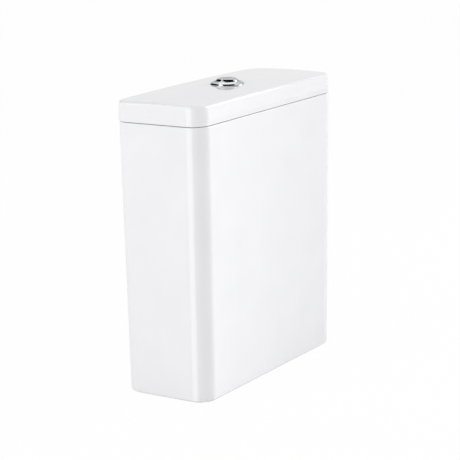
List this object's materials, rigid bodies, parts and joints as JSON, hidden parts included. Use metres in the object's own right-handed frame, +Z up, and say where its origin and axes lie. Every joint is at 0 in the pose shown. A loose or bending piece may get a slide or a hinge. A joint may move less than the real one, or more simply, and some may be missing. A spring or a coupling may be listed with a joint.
{
  "type": "toilet cistern",
  "caption": "Slim close-coupled toilet cistern in white china with a lift-off lid, round dual flush button, flush valve and bottom-entry fill valve.",
  "frame": {"origin": "middle of the overall footprint, on the plane the foot rim stands on", "axes": "+Z up, -Y is the front, +Y is the back that faces the wall, X runs across the width"},
  "size_m": [0.365, 0.146, 0.4275],
  "materials": {
    "vitreous_china": "white glazed vitreous china",
    "chrome": "bright chrome plate on moulded plastic",
    "white_plastic": "white moulded acetal",
    "grey_plastic": "grey moulded polypropylene",
    "blue_plastic": "blue moulded polypropylene",
    "rubber": "black rubber",
    "red_rubber": "red silicone rubber",
    "steel": "stainless steel",
    "brass": "turned brass"
  },
  "bodies": {
    "tank": {"tank": "vitreous_china", "lid_buffer_pads": "rubber", "flush_valve_base": "white_plastic", "valve_flange_washer": "rubber", "flush_valve_backnut": "grey_plastic", "coupling_gasket": "rubber", "flush_valve_cage": "white_plastic", "tower_frame": "grey_plastic", "rocker_bridge": "white_plastic", "rocker_pins": "steel", "coupling_bolts": "steel", "bolt_cone_washers": "rubber", "bolt_plate_washers": "steel", "bolt_nuts": "brass", "fill_valve_shank": "white_plastic", "fill_valve_washer": "rubber", "fill_valve_backnut": "brass", "fill_valve_column": "white_plastic", "height_lock_collar": "grey_plastic", "fill_valve_head": "white_plastic", "fill_valve_diaphragm": "rubber", "fill_valve_cap": "grey_plastic", "lever_pin": "steel", "inlet_filter": "white_plastic"},
    "lid": {"lid": "vitreous_china", "button_bezel": "chrome", "button_locknut": "white_plastic", "button_washer": "rubber", "button_guide": "white_plastic", "full_button_spring": "steel", "half_button_spring": "steel"},
    "full_button": {"full_flush_button": "chrome", "full_push_rod": "white_plastic"},
    "half_button": {"half_flush_button": "chrome", "half_push_rod": "white_plastic"},
    "full_rocker": {"full_flush_rocker": "blue_plastic"},
    "half_rocker": {"half_flush_rocker": "blue_plastic"},
    "full_yoke": {"full_flush_yoke": "grey_plastic"},
    "riser": {"half_flush_yoke": "grey_plastic", "overflow_tube": "white_plastic", "valve_seal": "red_rubber", "seal_retainer": "white_plastic", "riser_float": "white_plastic", "half_flush_float": "blue_plastic"},
    "float": {"float_cup": "white_plastic", "float_rod": "white_plastic"},
    "lever": {"float_lever": "white_plastic", "pilot_seal": "red_rubber"}
  },
  "joints": [
    {"name": "lid_lift", "type": "slide", "parent": "tank", "child": "lid", "axis": [0, 0, 1], "range_m": [0, 0.13]},
    {"name": "full_button_press", "type": "slide", "parent": "lid", "child": "full_button", "axis": [0, 0, -1], "range_m": [0, 0.009], "stiffness_N_per_m": 250, "springref_m": -0.006, "deforming": ["full_button_spring"]},
    {"name": "half_button_press", "type": "slide", "parent": "lid", "child": "half_button", "axis": [0, 0, -1], "range_m": [0, 0.009], "stiffness_N_per_m": 250, "springref_m": -0.006, "deforming": ["half_button_spring"]},
    {"name": "full_rocker_swing", "type": "hinge", "parent": "tank", "child": "full_rocker", "pos_m": [0, 0.0256, 0.289], "axis": [1, 0, 0], "range_deg": [0, 32.67]},
    {"name": "half_rocker_swing", "type": "hinge", "parent": "tank", "child": "half_rocker", "pos_m": [0, -0.0256, 0.289], "axis": [-1, 0, 0], "range_deg": [0, 32.67]},
    {"name": "full_yoke_lift", "type": "slide", "parent": "tank", "child": "full_yoke", "axis": [0, 0, 1], "range_m": [0, 0.009]},
    {"name": "riser_lift", "type": "slide", "parent": "full_yoke", "child": "riser", "axis": [0, 0, 1], "range_m": [0, 0.009]},
    {"name": "float_rise", "type": "slide", "parent": "tank", "child": "float", "axis": [0, 0, 1], "range_m": [0, 0.008]},
    {"name": "float_lever_swing", "type": "hinge", "parent": "tank", "child": "lever", "pos_m": [-0.123, 0, 0.2928], "axis": [0, -1, 0], "range_deg": [0, 21.33]}
  ],
  "couplings": [
    {"joint": "full_rocker_swing", "follows": "full_button_press", "rad_per_m": 63.355},
    {"joint": "full_yoke_lift", "follows": "full_button_press", "ratio": 1},
    {"joint": "half_rocker_swing", "follows": "half_button_press", "rad_per_m": 63.355},
    {"joint": "riser_lift", "follows": "half_button_press", "ratio": 1},
    {"joint": "float_lever_swing", "follows": "float_rise", "rad_per_m": 46.521}
  ]
}
